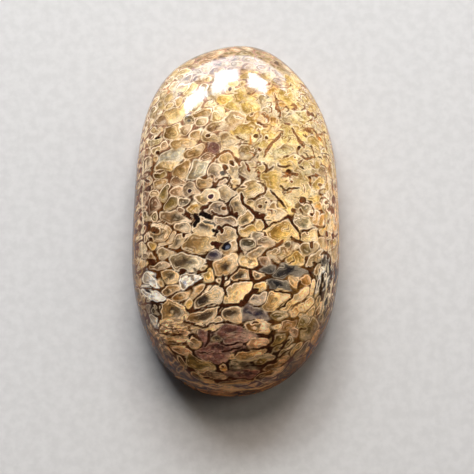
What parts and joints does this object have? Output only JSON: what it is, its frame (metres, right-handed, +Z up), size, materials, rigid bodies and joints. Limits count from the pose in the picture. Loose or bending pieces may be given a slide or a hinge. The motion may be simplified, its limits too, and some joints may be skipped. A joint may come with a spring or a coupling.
{
  "type": "agatized dinosaur bone cabochon",
  "caption": "Polished oval dome of agatized fossil bone with a flat underside, showing tan and golden mineral-filled bone cells in a dark brown web.",
  "frame": {"origin": "On the flat underside, below the middle of the stone's bounding box", "axes": "+Z up through the dome, normal to the flat underside; +Y along the stone's length; +X across its width"},
  "size_m": [0.024, 0.0426, 0.0095],
  "materials": {
    "polished_bone": "Silicified bone with a glassy lapidary polish: tan, golden and grey chalcedony cells with cream rims in a dark red-brown web"
  },
  "bodies": {
    "root": {"stone": "polished_bone"}
  },
  "joints": []
}
